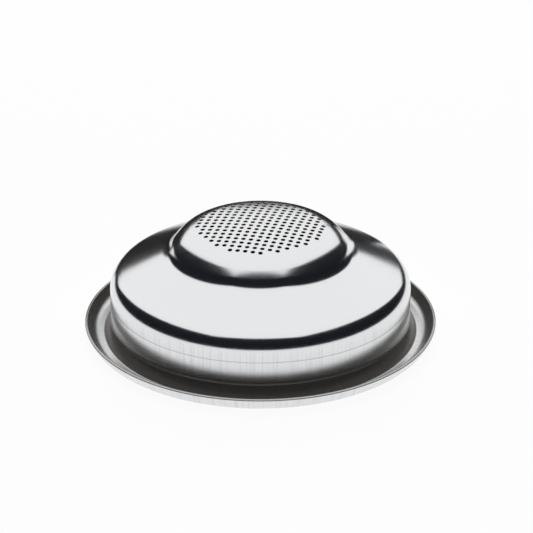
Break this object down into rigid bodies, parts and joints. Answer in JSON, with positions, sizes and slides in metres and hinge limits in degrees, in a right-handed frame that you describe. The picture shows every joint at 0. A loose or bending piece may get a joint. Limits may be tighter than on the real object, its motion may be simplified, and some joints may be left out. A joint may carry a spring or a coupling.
{
  "type": "espresso filter basket",
  "caption": "Shallow filter basket pressed from polished steel sheet, upside down on its rim: a rim channel, a low round cup with a flared foot, and a finely perforated centre.",
  "frame": {"origin": "centre of the rim's underside, which is the plane that the upturned basket rests on", "axes": "+Z along the axis of the cup, from the open rim to the perforated dome; the cup is round, so X and Y are any two level directions"},
  "size_m": [0.0702, 0.0702, 0.0232],
  "materials": {
    "polished_steel": "polished"
  },
  "bodies": {
    "root": {"filter_basket": "polished_steel"}
  },
  "joints": []
}
